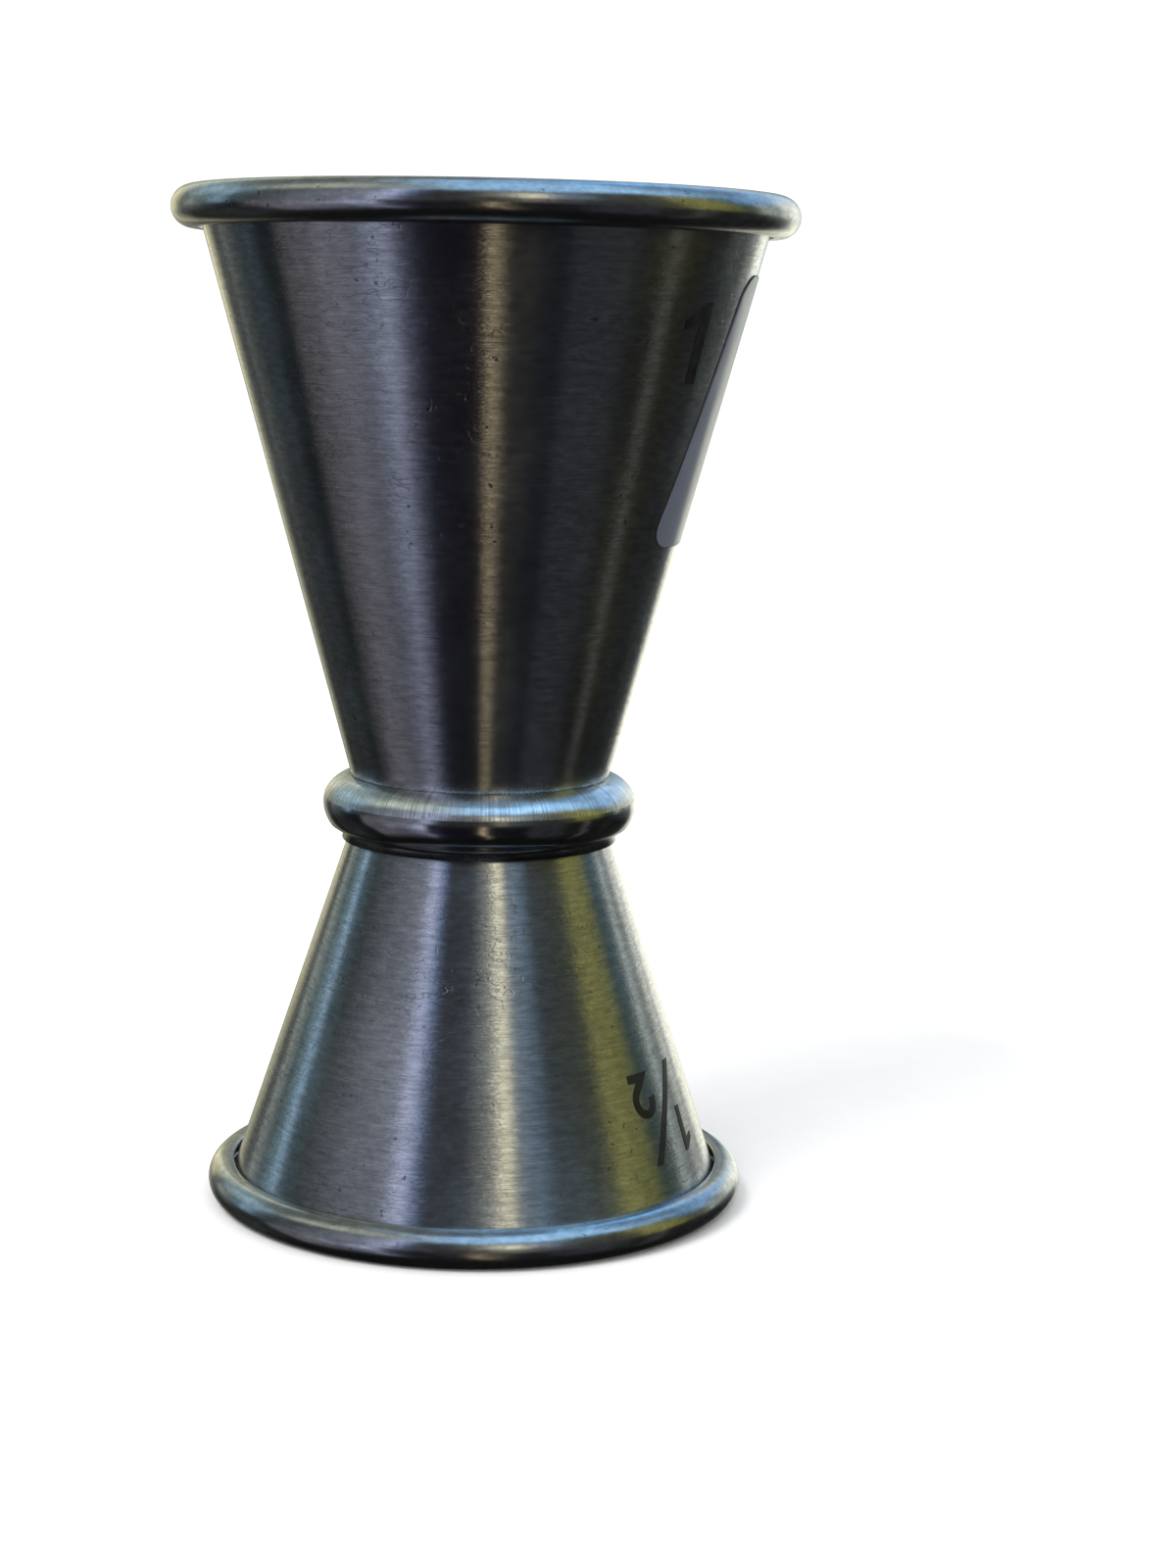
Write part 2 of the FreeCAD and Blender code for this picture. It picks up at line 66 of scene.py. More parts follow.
# sizes of the sheet-metal pieces
HEIGHT = cad_high.z
SHEET = 0.6 * MM
HEEL = 1.6 * MM
LAND = 0.4 * MM
CURL_SWEEP = math.radians(200)
upper_low, upper_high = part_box("upper_cup")
lower_low, lower_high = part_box("lower_cup")
UPPER = {"rim": upper_high.x, "depth": upper_high.z - upper_low.z,
         "bead": 1.48 * MM, "shoulder": 0.77 * MM, "lean": math.radians(15.3)}
LOWER = {"rim": lower_high.x, "depth": lower_high.z - lower_low.z,
         "bead": 1.4 * MM, "shoulder": 0.7 * MM, "lean": math.radians(18.36)}
collar_low, collar_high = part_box("collar")
COLLAR_TOP = collar_high.z
COLLAR_BOTTOM = collar_low.z
COLLAR_LIP = 27.52 * MM
COLLAR_FIT = 0.03 * MM
COLLAR_SHEET = 0.5 * MM
COLLAR_LIP_SHEET = 0.4 * MM
CREASE = (11.45 * MM, 30.45 * MM)
RIDGE = (10.98 * MM, 28.15 * MM)
TOP_DOME = 2.4 * MM
FRONT_DOME = 2.6 * MM

MIRRORED_LIGHT = 1.75    # strength of the surroundings that the steel mirrors
SOFT_LIGHT = 1.15        # strength of the white light on everything else

# finish zones, which are also the material indices of a turned piece
WALL, ROLL, INSIDE = 0, 1, 2
FACE, FRONT, LIP = 0, 1, 2


# ---------------------------------------------------------------- turned meshes

def arc(centre, radius, first, last):
    """Points on an arc from one angle to another, in radians, in the section's plane."""
    count = max(3, math.ceil(abs(last - first) / ARC_STEP))
    angles = [first + (last - first) * i / count for i in range(count + 1)]
    return [(centre[0] + radius * math.cos(a), centre[1] + radius * math.sin(a)) for a in angles]


def straight(first, last, count):
    return [(first[0] + (last[0] - first[0]) * i / count, first[1] + (last[1] - first[1]) * i / count)
            for i in range(count + 1)]


def crest_of(cup):
    """How far the ground land on the rim sits below the bead's full round."""
    return cup["bead"] - math.sqrt(cup["bead"] ** 2 - (LAND / 2) ** 2)


def outside_radius(cup, below):
    """Radius of a cup's straight outside wall at a depth below its rim."""
    bend = cup["shoulder"] - SHEET
    top_radius = cup["rim"] - cup["bead"] - bend * math.cos(cup["lean"])
    top_height = crest_of(cup) - cup["shoulder"] + bend * math.sin(cup["lean"])
    return top_radius - (below + top_height) * math.tan(cup["lean"])


def cup_section(cup):
    """A cup's section with its rim at height 0: the inside from the axis out, then the outside."""
    lean = cup["lean"]
    crown = cup["rim"] - cup["bead"]
    crest = crest_of(cup)
    strips = []
    for face in (0, 1):
        roll_r = cup["bead"] - face * SHEET
        bend_r = cup["shoulder"] - face * SHEET
        heel_r = HEEL - (1 - face) * SHEET
        base = -cup["depth"] + (1 - face) * SHEET
        bend_centre = (crown, crest - cup["shoulder"])
        wall_top = (bend_centre[0] - bend_r * math.cos(lean),
                    bend_centre[1] + bend_r * math.sin(lean))
        foot_height = base + heel_r - heel_r * math.sin(lean)
        wall_foot = (wall_top[0] - (wall_top[1] - foot_height) * math.tan(lean), foot_height)
        heel_centre = (wall_foot[0] - heel_r * math.cos(lean), base + heel_r)
        floor = straight((0, base), (heel_centre[0], base), 6)
        heel = arc(heel_centre, heel_r, -QUARTER, -lean)
        wall = straight(wall_foot, wall_top, 24)
        bend = arc(bend_centre, bend_r, math.pi - lean, QUARTER)
        roll = arc((crown, crest - cup["bead"]), roll_r, QUARTER, QUARTER - CURL_SWEEP)
        strips.append((floor, heel, wall, bend, roll))
    inside_zones = (INSIDE, INSIDE, INSIDE, ROLL, ROLL)
    outside_zones = (WALL, WALL, WALL, ROLL, ROLL)
    inside = [(p, zone) for part, zone in zip(strips[0], inside_zones) for p in part]
    outside = [(p, zone) for part, zone in zip(strips[1], outside_zones) for p in part]
    return inside + outside[::-1]


def domed(first, last, radius):
    """An arc of the given radius from one point down to the next, bulging away from the axis."""
    half = math.hypot(last[0] - first[0], last[1] - first[1]) / 2
    middle = ((first[0] + last[0]) / 2, (first[1] + last[1]) / 2)
    inward = ((last[1] - first[1]) / (2 * half), (first[0] - last[0]) / (2 * half))
    back = math.sqrt(radius ** 2 - half ** 2)
    centre = (middle[0] + inward[0] * back, middle[1] + inward[1] * back)
    start = math.atan2(first[1] - centre[1], first[0] - centre[0])
    end = math.atan2(last[1] - centre[1], last[0] - centre[0])
    return arc(centre, radius, start, end)


def collar_section():
    """The collar's section: domed upper face, domed front, lip, and the hollow behind them."""
    edge = (outside_radius(UPPER, HEIGHT - COLLAR_TOP) + COLLAR_FIT, COLLAR_TOP)
    foot = (outside_radius(LOWER, COLLAR_BOTTOM) + COLLAR_FIT, COLLAR_BOTTOM)
    neck = (outside_radius(LOWER, COLLAR_LIP) + COLLAR_FIT + COLLAR_LIP_SHEET, COLLAR_LIP)
    ledge = COLLAR_LIP + COLLAR_SHEET
    ledge_inner = outside_radius(LOWER, ledge) + COLLAR_FIT
    under_top = COLLAR_TOP - COLLAR_SHEET
    hollow = [(ledge_inner, ledge), (foot[0] + COLLAR_LIP_SHEET, ledge),
              (RIDGE[0] - 0.9 * COLLAR_SHEET, RIDGE[1] + 0.4 * COLLAR_SHEET),
              (CREASE[0] - 1.1 * COLLAR_SHEET, CREASE[1] - 0.4 * COLLAR_SHEET),
              (edge[0] + COLLAR_SHEET, COLLAR_TOP - 1.1 * COLLAR_SHEET),
              (outside_radius(UPPER, HEIGHT - under_top) + COLLAR_FIT, under_top)]
    section = [(p, FACE) for p in domed(edge, CREASE, TOP_DOME)]
    section += [(p, FRONT) for p in domed(CREASE, RIDGE, FRONT_DOME)]
    section += [(p, LIP) for p in (neck, (foot[0] + COLLAR_LIP_SHEET, foot[1]), foot)]
    section += [(p, LIP) for p in hollow]
    return section


def turned(name, section, flip=False, lift=0.0, highest=0.0):
    """Turns a section about the Z axis into a closed, smooth mesh, ground flat at its highest."""
    points = []
    for (r, z), zone in section:
        z = min(z, highest)
        if points and math.hypot(points[-1][0] - r, points[-1][1] - z) < 1e-7:
            continue
        points.append((r, z, zone))
    mesh = bmesh.new()
    rings = []
    for r, z, _ in points:
        if r < 1e-7:
            rings.append([mesh.verts.new((0, 0, z))])
            continue
        ring = []
        for i in range(STEPS_ROUND):
            a = 2 * math.pi * i / STEPS_ROUND
            ring.append(mesh.verts.new((r * math.cos(a), r * math.sin(a), z)))
        rings.append(ring)
    closed = len(rings[0]) > 1
    count = len(rings)
    for k in range(count if closed else count - 1):
        a, b = rings[k], rings[(k + 1) % count]
        zone = points[k][2]
        for i in range(STEPS_ROUND):
            j = (i + 1) % STEPS_ROUND
            corners = []
            for v in (a[i % len(a)], a[j % len(a)], b[j % len(b)], b[i % len(b)]):
                if v not in corners:
                    corners.append(v)
            face = mesh.faces.new(corners)
            face.material_index = zone
            face.smooth = True
    if flip:
        bmesh.ops.transform(mesh, matrix=Matrix.Rotation(math.pi, 4, "Y"), verts=mesh.verts)
    bmesh.ops.translate(mesh, vec=(0, 0, lift), verts=mesh.verts)
    bmesh.ops.recalc_face_normals(mesh, faces=mesh.faces)
    data = bpy.data.meshes.new(name)
    mesh.to_mesh(data)
    mesh.free()
    piece = bpy.data.objects.new(name, data)
    bpy.context.scene.collection.objects.link(piece)
    return piece


# ---------------------------------------------------------------- materials

class Nodes:
    """A small helper that adds and links shader nodes."""

    def __init__(self, tree):
        self.tree = tree
        self.tree.nodes.clear()

    def add(self, kind, inputs=(), **settings):
        node = self.tree.nodes.new(kind)
        for key, value in settings.items():
            setattr(node, key, value)
        for key, value in dict(inputs).items():
            socket = node.inputs[key]
            if isinstance(value, bpy.types.NodeSocket):
                self.tree.links.new(value, socket)
            else:
                socket.default_value = value
        return node

    def math(self, operation, first, second=0.0, clamp=False):
        return self.add("ShaderNodeMath", {0: first, 1: second}, operation=operation,
                        use_clamp=clamp).outputs[0]

    def remap(self, value, low, high, to_low, to_high):
        return self.add("ShaderNodeMapRange", {0: value, 1: low, 2: high, 3: to_low, 4: to_high},
                        clamp=True).outputs[0]

    def noise(self, coords, scale, detail=3.0, roughness=0.55, seed=0.0):
        """Noise stretched by a scale along each axis, in cycles per metre."""
        mapped = self.add("ShaderNodeMapping", {"Vector": coords, "Scale": scale,
                                                "Location": (seed, seed * 1.7, seed * 2.3)})
        return self.add("ShaderNodeTexNoise", {"Vector": mapped.outputs[0], "Scale": 1.0, "Detail": detail,
                                               "Roughness": roughness}).outputs[0]

    def as_grey(self, value):
        """One value as a grey colour."""
        return self.add("ShaderNodeCombineColor", {0: value, 1: value, 2: value}).outputs[0]

    def mix(self, factor, first, second, blend="MIX"):
        node = self.add("ShaderNodeMix", data_type="RGBA", blend_type=blend)
        for index, value in ((0, factor), (6, first), (7, second)):
            if isinstance(value, bpy.types.NodeSocket):
                self.tree.links.new(value, node.inputs[index])
            else:
                node.inputs[index].default_value = value
        return node.outputs[2]


def grey(level):
    return (level, level, level, 1.0)


def steel(name, level, roughness, anisotropy, turn, lines=1.0, wear=1.0, brushed="round"):
    """Brushed steel with small pits and handling marks; brushed round, across or evenly."""
    material = bpy.data.materials.new(name)
    material.use_nodes = True
    n = Nodes(material.node_tree)
    place = n.add("ShaderNodeTexCoord").outputs["Object"]
    split = n.add("ShaderNodeSeparateXYZ", {0: place})
    x, y, z = split.outputs
    radius = n.math("SQRT", n.math("ADD", n.math("MULTIPLY", x, x), n.math("MULTIPLY", y, y)))
    along = n.math("ADD", z, n.math("MULTIPLY", radius, 0.4))
    facing = n.add("ShaderNodeCombineXYZ", {0: n.math("DIVIDE", x, radius), 1: n.math("DIVIDE", y, radius),
                                            2: along}).outputs[0]
    if brushed == "across":
        fine = n.noise(facing, (70, 70, 150), 3.0, 0.6, 3.0)
        short = n.noise(facing, (170, 170, 500), 2.0, 0.5, 7.0)
    elif brushed == "round":
        fine = n.noise(facing, (6, 6, 8000), 4.0, 0.65, 3.0)
        short = n.noise(facing, (60, 60, 13000), 4.0, 0.65, 7.0)
    else:
        fine = n.noise(place, (700, 700, 700), 4.0, 0.6, 3.0)
        short = n.noise(place, (2600, 2600, 2600), 3.0, 0.6, 7.0)
    smudge = n.noise(place, (110, 110, 80), 5.0, 0.6, 11.0)
    pits = n.noise(place, (1500, 1500, 1500), 3.0, 0.55, 19.0)
    crowd = n.remap(n.noise(place, (160, 160, 120), 2.0, 0.5, 23.0), 0.42, 0.56, 0.0, wear)
    pit = n.math("MULTIPLY", n.remap(pits, 0.665, 0.71, 0.0, 1.0), crowd)
    # hairline scratches are the level lines of a stretched noise
    drift = n.math("ABSOLUTE", n.math("SUBTRACT", n.noise(facing, (5, 5, 900), 2.0, 0.5, 41.0), 0.5))
    bare = n.remap(n.noise(place, (130, 130, 130), 2.0, 0.5, 47.0), 0.45, 0.6, 0.0, wear)
    if brushed != "round":
        bare = 0.0
    scratch = n.math("MULTIPLY", n.remap(drift, 0.003, 0.012, 1.0, 0.0), bare)
    grain = n.math("ADD", n.math("MULTIPLY", fine, 0.6), n.math("MULTIPLY", short, 0.4))
    shade = n.math("MULTIPLY", n.remap(grain, 0.35, 0.65, 1.0 - 0.26 * lines, 1.0 + 0.18 * lines),
                   n.remap(n.math("MAXIMUM", pit, n.math("MULTIPLY", scratch, 0.5)), 0.0, 1.0, 1.0, 0.45))
    shade = n.math("MULTIPLY", shade, n.remap(smudge, 0.35, 0.7, 1.0 - 0.15 * wear, 1.0 + 0.04 * wear))
    rubbed = n.noise(place, (900, 900, 2600), 5.0, 0.65, 31.0)
    shade = n.math("MULTIPLY", shade, n.remap(rubbed, 0.35, 0.65, 1.0 - 0.2 * wear, 1.0 + 0.12 * wear))
    colour = n.mix(1.0, grey(level), n.as_grey(shade), "MULTIPLY")
    rough = n.math("ADD", n.remap(grain, 0.35, 0.65, roughness + 0.03 * lines, roughness - 0.02 * lines),
                   n.remap(smudge, 0.45, 0.75, 0.0, 0.06 * wear))
    worn = n.math("ADD", n.math("MULTIPLY", pit, 2.0), n.math("MULTIPLY", scratch, 0.6))
    relief = n.math("SUBTRACT", grain, worn)
    bump = n.add("ShaderNodeBump", {"Strength": 0.2 * lines, "Distance": 0.00003, "Height": relief})
    tangent = n.add("ShaderNodeTangent", direction_type="RADIAL", axis="Z").outputs[0]
    # each brush line is cut at its own slight angle, which frays the edges of what it mirrors
    fray = n.math("MULTIPLY", n.math("SUBTRACT", short, 0.5), 0.11 * lines)
    aside = n.add("ShaderNodeVectorMath", {0: tangent, "Scale": fray}, operation="SCALE").outputs[0]
    cut = n.add("ShaderNodeVectorMath", {0: bump.outputs[0], 1: aside}, operation="ADD").outputs[0]
    normal = n.add("ShaderNodeVectorMath", {0: cut}, operation="NORMALIZE").outputs[0]
    shader = n.add("ShaderNodeBsdfPrincipled", {
        "Base Color": colour, "Metallic": 1.0, "Roughness": rough, "Anisotropic": anisotropy,
        "Anisotropic Rotation": turn, "Normal": normal, "Tangent": tangent})
    n.add("ShaderNodeOutputMaterial", {"Surface": shader.outputs[0]})
    return material


def ink():
    material = bpy.data.materials.new("mark_ink")
    material.use_nodes = True
    n = Nodes(material.node_tree)
    place = n.add("ShaderNodeTexCoord").outputs["Object"]
    worn = n.noise(place, (900, 900, 1200), 4.0, 0.6, 5.0)
    colour = n.mix(n.remap(worn, 0.35, 0.7, 0.0, 1.0), grey(0.003), (0.01, 0.01, 0.011, 1))
    bump = n.add("ShaderNodeBump", {"Strength": 0.1, "Distance": 0.00003, "Height": worn})
    shader = n.add("ShaderNodeBsdfPrincipled", {
        "Base Color": colour, "Roughness": n.remap(worn, 0.3, 0.7, 0.3, 0.45), "Specular IOR Level": 0.5,
        "Normal": bump.outputs[0]})
    n.add("ShaderNodeOutputMaterial", {"Surface": shader.outputs[0]})
    return material


def plain(name, colour, roughness, coat=0.0, mottled=0.1):
    material = bpy.data.materials.new(name)
    material.use_nodes = True
    n = Nodes(material.node_tree)
    place = n.add("ShaderNodeTexCoord").outputs["Object"]
    mottle = n.noise(place, (300, 300, 300), 4.0, 0.6, 2.0)
    shade = n.remap(mottle, 0.3, 0.7, 1.0 - mottled, 1.0 + mottled)
    tint = n.mix(1.0, colour, n.as_grey(shade), "MULTIPLY")
    rough = n.remap(mottle, 0.3, 0.7, roughness - 0.04, roughness + 0.04)
    bump = n.add("ShaderNodeBump", {"Strength": 0.05, "Distance": 0.00005, "Height": mottle})
    shader = n.add("ShaderNodeBsdfPrincipled", {"Base Color": tint, "Roughness": rough, "Coat Weight": coat,
                                                "Normal": bump.outputs[0]})
    n.add("ShaderNodeOutputMaterial", {"Surface": shader.outputs[0]})
    return material


def dress(piece, *materials):
    if piece.data.materials:
        piece.data.materials.clear()
    for material in materials:
        piece.data.materials.append(material)


# ---------------------------------------------------------------- the pieces

upper = turned("upper_cup_shell", cup_section(UPPER), lift=HEIGHT)
lower = turned("lower_cup_shell", cup_section(LOWER), flip=True)
collar = turned("collar_shell", collar_section(), highest=HEIGHT)
wall = steel("steel_wall", 0.6, 0.2, 0.95, 0.25)
roll = steel("steel_roll", 0.6, 0.2, 0.3, 0.25, lines=0.35, brushed="even")
inside = steel("steel_inside", 0.6, 0.3, 0.8, 0.25)
dress(upper, wall, roll, inside)
dress(lower, wall, roll, inside)
# the collar's upper face has its steel colour raised to 0.95, against 0.6 for the other steel: a painted
# highlight that lightens the face
dress(collar, steel("steel_collar_face_painted_bright", 0.95, 0.26, 0.6, 0.0, lines=1.5, brushed="across"),
      steel("steel_collar_front", 0.52, 0.13, 0.4, 0.25, lines=0.4),
      steel("steel_collar_lip", 0.55, 0.24, 0.3, 0.25))
for piece, node, slot in ((upper, "upper_cup", "upper_steel"), (lower, "lower_cup", "lower_steel"),
                          (collar, "collar", "collar_steel")):
    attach(piece, "root")
    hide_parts(node)

dress(nodes["base_welds"], steel("steel_weld", 0.4, 0.5, 0.0, 0.0, brushed="even"))
dress(nodes["one_ounce_mark"], ink())
dress(nodes["half_ounce_mark"], nodes["one_ounce_mark"].data.materials[0])
dress(nodes["label_adhesive"], plain("label_glue", (0.025, 0.008, 0.008, 1), 0.5))
dress(nodes["label_film"], plain("label_film", (0.078, 0.09, 0.12, 1), 0.35, 0.35))


# ---------------------------------------------------------------- studio

def linear(channel):
    """One 0 to 255 screen value as light."""
    level = channel / 255
    return level / 12.92 if level < 0.04 else ((level + 0.055) / 1.055) ** 2.4


def band_ramp(n, position, stops):
    """Bands of light round the jigger, from (azimuth, screen colour) stops."""
    ramp = n.add("ShaderNodeValToRGB", {"Fac": position})
    while len(ramp.color_ramp.elements) < len(stops):
        ramp.color_ramp.elements.new(0.5)
    for element, (azimuth, colour) in zip(ramp.color_ramp.elements, sorted(stops)):
        element.position = azimuth / 360 + 0.5
        element.color = (*(linear(channel) for channel in colour), 1)
    return ramp.outputs[0]


# The surroundings that the steel mirrors, by azimuth: 0 is behind the camera, positive to its
# right. The low bands are what the upper cup leans towards, the high ones what the lower cup
# does, and the sky is what the rolled rims and the collar show on top. The low and high colours
# follow readings of the reference picture, adjusted, so this is not a plain studio light,
# which stays an open fault.
LOW_BANDS = [
    (-180, (90, 92, 88)), (-166, (150, 148, 125)), (-150, (86, 89, 88)), (-128, (68, 72, 72)),
    (-120, (42, 48, 48)), (-112, (26, 32, 34)), (-98, (14, 16, 20)), (-94, (92, 90, 94)),
    (-80, (86, 85, 92)), (-58, (76, 78, 88)), (-50, (98, 104, 120)), (-43, (122, 126, 145)),
    (-38, (38, 40, 52)), (-26, (20, 19, 26)), (-2, (18, 17, 23)), (0, (60, 56, 50)),
    (2, (212, 193, 157)), (5, (104, 98, 80)), (8, (24, 24, 27)), (34, (18, 19, 24)),
    (39, (44, 45, 50)), (62, (42, 43, 47)), (70, (28, 30, 30)), (81, (20, 22, 22)),
    (86, (75, 75, 75)), (91, (22, 22, 23)), (113, (28, 30, 32)), (127, (66, 71, 70)),
    (146, (105, 110, 112)), (154, (230, 230, 212)), (172, (235, 232, 212)), (180, (90, 92, 88)),
]
HIGH_BANDS = [
    (-180, (70, 90, 105)), (-168, (150, 150, 126)), (-154, (215, 208, 172)), (-146, (84, 92, 88)),
    (-132, (124, 131, 127)), (-125, (66, 78, 78)), (-117, (100, 122, 130)), (-111, (136, 162, 186)),
    (-106, (58, 72, 76)), (-94, (50, 55, 56)), (-46, (112, 116, 128)), (-36, (176, 184, 215)),
    (-30, (88, 110, 144)), (-25, (38, 35, 35)), (-4, (50, 50, 49)), (9, (138, 137, 128)),
    (15, (255, 250, 215)), (19, (252, 242, 205)), (22, (126, 135, 142)), (35, (94, 112, 128)),
    (43, (54, 57, 52)), (70, (60, 61, 46)), (78, (122, 121, 70)), (97, (102, 102, 56)),
    (106, (52, 60, 42)), (115, (66, 73, 68)), (122, (205, 216, 208)), (129, (112, 120, 118)),
    (139, (232, 234, 222)), (160, (208, 214, 204)), (169, (100, 118, 130)), (180, (70, 90, 105)),
]
SKY_BANDS = [
    (-180, (95, 108, 122)), (-162, (112, 120, 112)), (-150, (100, 108, 106)), (-132, (74, 79, 78)),
    (-114, (106, 110, 106)), (-97, (155, 165, 150)), (-68, (160, 165, 152)), (-40, (125, 140, 150)),
    (-10, (142, 178, 208)), (34, (152, 193, 230)), (79, (150, 195, 235)), (104, (112, 148, 180)),
    (130, (92, 112, 132)), (147, (115, 150, 180)), (154, (115, 185, 250)), (165, (118, 185, 248)),
    (173, (112, 142, 170)), (180, (95, 108, 122)),
]


def studio_world():
    world = bpy.data.worlds.new("studio")
    bpy.context.scene.world = world
    world.use_nodes = True
    world.cycles.sampling_method = "NONE"
    n = Nodes(world.node_tree)
    direction = n.add("ShaderNodeTexCoord").outputs["Generated"]
    x, y, z = n.add("ShaderNodeSeparateXYZ", {0: direction}).outputs
    turn = n.math("ARCTAN2", x, n.math("MULTIPLY", y, -1.0))
    position = n.math("ADD", n.math("DIVIDE", turn, 2 * math.pi), 0.5)
    # the low bands slant, so that they drift a little round the upper cup towards its foot
    level_aim = n.math("MULTIPLY", n.math("COSINE", n.math("MULTIPLY", turn, 0.5)), -0.506)
    slant = n.remap(n.math("SUBTRACT", level_aim, z), 0.025, 0.13, 0.0, -5.25 / 360)
    low = band_ramp(n, n.math("ADD", position, slant), LOW_BANDS)
    high = band_ramp(n, position, HIGH_BANDS)
    overhead = band_ramp(n, position, SKY_BANDS)
    bands = n.mix(n.remap(z, -0.13, -0.02, 0.0, 1.0), low, high)
    # level with the jigger and just right of the camera it is dark; left of it a window glows
    level = n.remap(n.math("ABSOLUTE", n.math("SUBTRACT", z, 0.05)), 0.15, 0.25, 1.0, 0.0)
    ahead = n.math("MULTIPLY", n.remap(turn, -0.66, -0.5, 0.0, 0.85), n.remap(turn, 0.85, 1.4, 1.0, 0.0))
    bands = n.mix(n.math("MULTIPLY", level, ahead), bands, grey(0.03))
    right_of_lens = n.math("MULTIPLY", n.remap(turn, -0.05, 0.1, 0.0, 0.8),
                           n.remap(turn, 0.6, 0.75, 1.0, 0.0))
    above_lens = n.remap(z, 0.55, 0.63, 0.0, 1.0)
    bands = n.mix(n.math("MULTIPLY", right_of_lens, above_lens), bands, (0.06, 0.08, 0.11, 1))
    window = n.math("MULTIPLY", n.remap(turn, -1.4, -1.2, 0.0, 1.0), n.remap(turn, -0.7, -0.64, 1.0, 0.0))
    raised = n.math("MULTIPLY", n.remap(z, -0.46, -0.34, 0.0, 1.0), n.remap(z, -0.22, -0.05, 1.0, 0.0))
    glow = n.math("ADD", n.math("MULTIPLY", n.math("MULTIPLY", window, raised), 1.2), 1.0)
    bands = n.mix(1.0, bands, n.as_grey(glow), "MULTIPLY")
    # behind the jigger: dark below, and open sky above, bluer on the right
    behind = n.remap(y, 0.1, 0.5, 0.0, 1.0)
    glint = n.math("MULTIPLY", n.remap(y, 0.8, 0.9, 0.0, 0.7),
                   n.remap(n.math("ABSOLUTE", x), 0.2, 0.3, 0.0, 1.0))
    below = n.math("MULTIPLY", n.remap(z, -0.14, -0.3, 0.0, 0.9), n.math("SUBTRACT", 1.0, glint))
    bands = n.mix(n.math("MULTIPLY", behind, below), bands, grey(0.012))
    open_sky = n.mix(n.remap(x, -0.2, 0.2, 0.0, 1.0), (0.26, 0.4, 0.47, 1), (0.13, 0.37, 0.74, 1))
    straight_behind = n.remap(n.math("ABSOLUTE", turn), 2.75, 2.9, 0.0, 1.0)
    open_sky = n.mix(straight_behind, open_sky, (0.4, 0.4, 0.3, 1))
    bands = n.mix(n.math("MULTIPLY", behind, n.remap(z, 0.2, 0.42, 0.0, 0.75)), bands, open_sky)
    raised_sky = n.math("SUBTRACT", z, n.remap(y, -0.25, 0.05, 0.15, 0.0))
    sky = n.mix(n.remap(raised_sky, 0.52, 0.66, 0.0, 1.0), bands, overhead)
    zenith = n.mix(n.remap(x, -0.35, -0.08, 0.0, 1.0), (0.19, 0.2, 0.18, 1), (0.28, 0.5, 0.76, 1))
    sky = n.mix(n.remap(z, 0.86, 0.93, 0.0, 1.0), sky, zenith)
    ripple = n.remap(n.noise(direction, (28, 28, 3), 5.0, 0.75, 2.0), 0.3, 0.7, 0.62, 1.36)
    # what stands behind the jigger is squeezed into thin streaks beside its outline
    round_about = n.add("ShaderNodeCombineXYZ", {0: turn, 2: n.math("MULTIPLY", z, 0.3)}).outputs[0]
    fence = n.remap(n.noise(round_about, (9, 1, 1), 3.0, 0.6, 6.0), 0.36, 0.64, -0.5, 0.4)
    beside = n.remap(n.math("ABSOLUTE", turn), 1.6, 2.1, 0.0, 1.0)
    ripple = n.math("MULTIPLY", ripple, n.math("ADD", n.math("MULTIPLY", fence, beside), 1.0))
    sky = n.mix(1.0, sky, n.as_grey(ripple), "MULTIPLY")
    seen = n.mix(n.remap(z, -0.75, -0.58, 0.0, 1.0), grey(0.005), sky)
    ray = n.add("ShaderNodeLightPath")
    glossy = n.add("ShaderNodeBackground", {"Color": seen, "Strength": MIRRORED_LIGHT})
    soft = n.add("ShaderNodeBackground", {"Color": grey(1.0), "Strength": SOFT_LIGHT})
    both = n.add("ShaderNodeMixShader", {0: ray.outputs["Is Glossy Ray"], 1: soft.outputs[0],
                                         2: glossy.outputs[0]})
    n.add("ShaderNodeOutputWorld", {"Surface": both.outputs[0]})


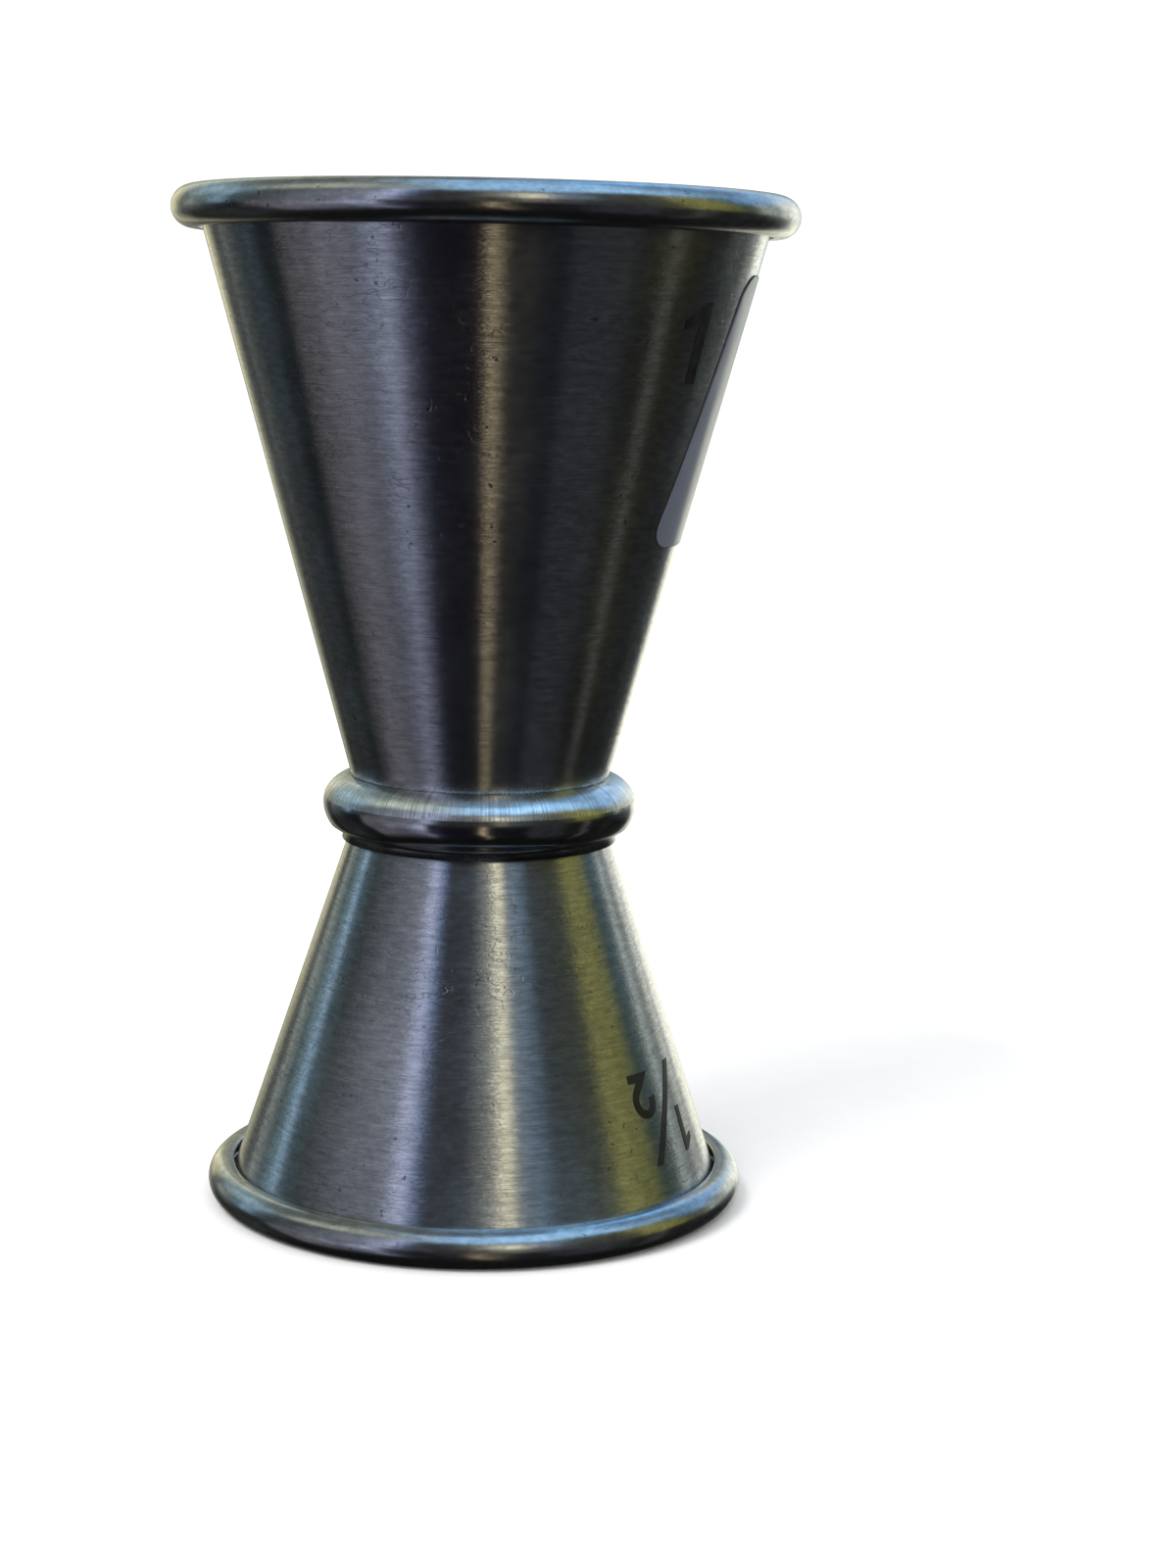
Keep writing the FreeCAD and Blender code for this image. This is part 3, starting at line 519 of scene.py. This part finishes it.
def studio_floor():
    """A pale sweep: flat under the jigger and curved up far behind it."""
    mesh = bmesh.new()
    depth, width, bend = 0.9, 3.0, 0.5
    outline = [(-2.0, 0.0), (depth, 0.0)]
    outline += [(depth + bend * math.sin(a), bend * (1 - math.cos(a)))
                for a in (math.pi / 2 * i / 12 for i in range(1, 13))]
    outline.append((depth + bend, 3.0))
    rows = [[mesh.verts.new((side * width, y, z)) for side in (-1, 1)] for y, z in outline]
    for first, last in zip(rows, rows[1:]):
        mesh.faces.new((first[0], first[1], last[1], last[0])).smooth = True
    data = bpy.data.meshes.new("floor")
    mesh.to_mesh(data)
    mesh.free()
    floor = bpy.data.objects.new("floor", data)
    bpy.context.scene.collection.objects.link(floor)
    dress(floor, plain("floor_paint", (0.93, 0.93, 0.93, 1), 0.8, mottled=0.01))
    floor.visible_glossy = False


def studio_light(name, place, aim, size, power):
    data = bpy.data.lights.new(name, "AREA")
    data.shape = "DISK"
    data.size = size
    data.energy = power
    light = bpy.data.objects.new(name, data)
    light.location = place
    light.rotation_euler = (Vector(aim) - Vector(place)).to_track_quat("-Z", "Y").to_euler()
    bpy.context.scene.collection.objects.link(light)
    return light


def aim_camera():
    """The camera stands level with the upper cup, close in front, tipped down and rolled a little."""
    away, height = 206.0 * MM, 64.66 * MM
    yaw, pitch, roll_angle = (math.radians(a) for a in (2.23, -9.24, 1.1))
    forward = Vector((math.sin(yaw) * math.cos(pitch), math.cos(yaw) * math.cos(pitch), math.sin(pitch)))
    level = Vector((math.cos(yaw), -math.sin(yaw), 0))
    above = level.cross(forward)
    right = level * math.cos(roll_angle) + above * math.sin(roll_angle)
    up = above * math.cos(roll_angle) - level * math.sin(roll_angle)
    data = bpy.data.cameras.new("camera")
    data.sensor_width = 36
    data.lens = 64.6
    data.clip_start = 0.01
    camera = bpy.data.objects.new("camera", data)
    facing = Matrix((right, up, -forward)).transposed().to_4x4()
    camera.matrix_world = Matrix.Translation((0, -away, height)) @ facing
    bpy.context.scene.collection.objects.link(camera)
    bpy.context.scene.camera = camera


studio_world()
studio_floor()
aim_camera()
key = studio_light("key", (-0.5, -0.5, 0.9), (0, 0, 0.03), 0.5, 6.0)
key.visible_glossy = False
bpy.context.scene.view_settings.view_transform = "Standard"
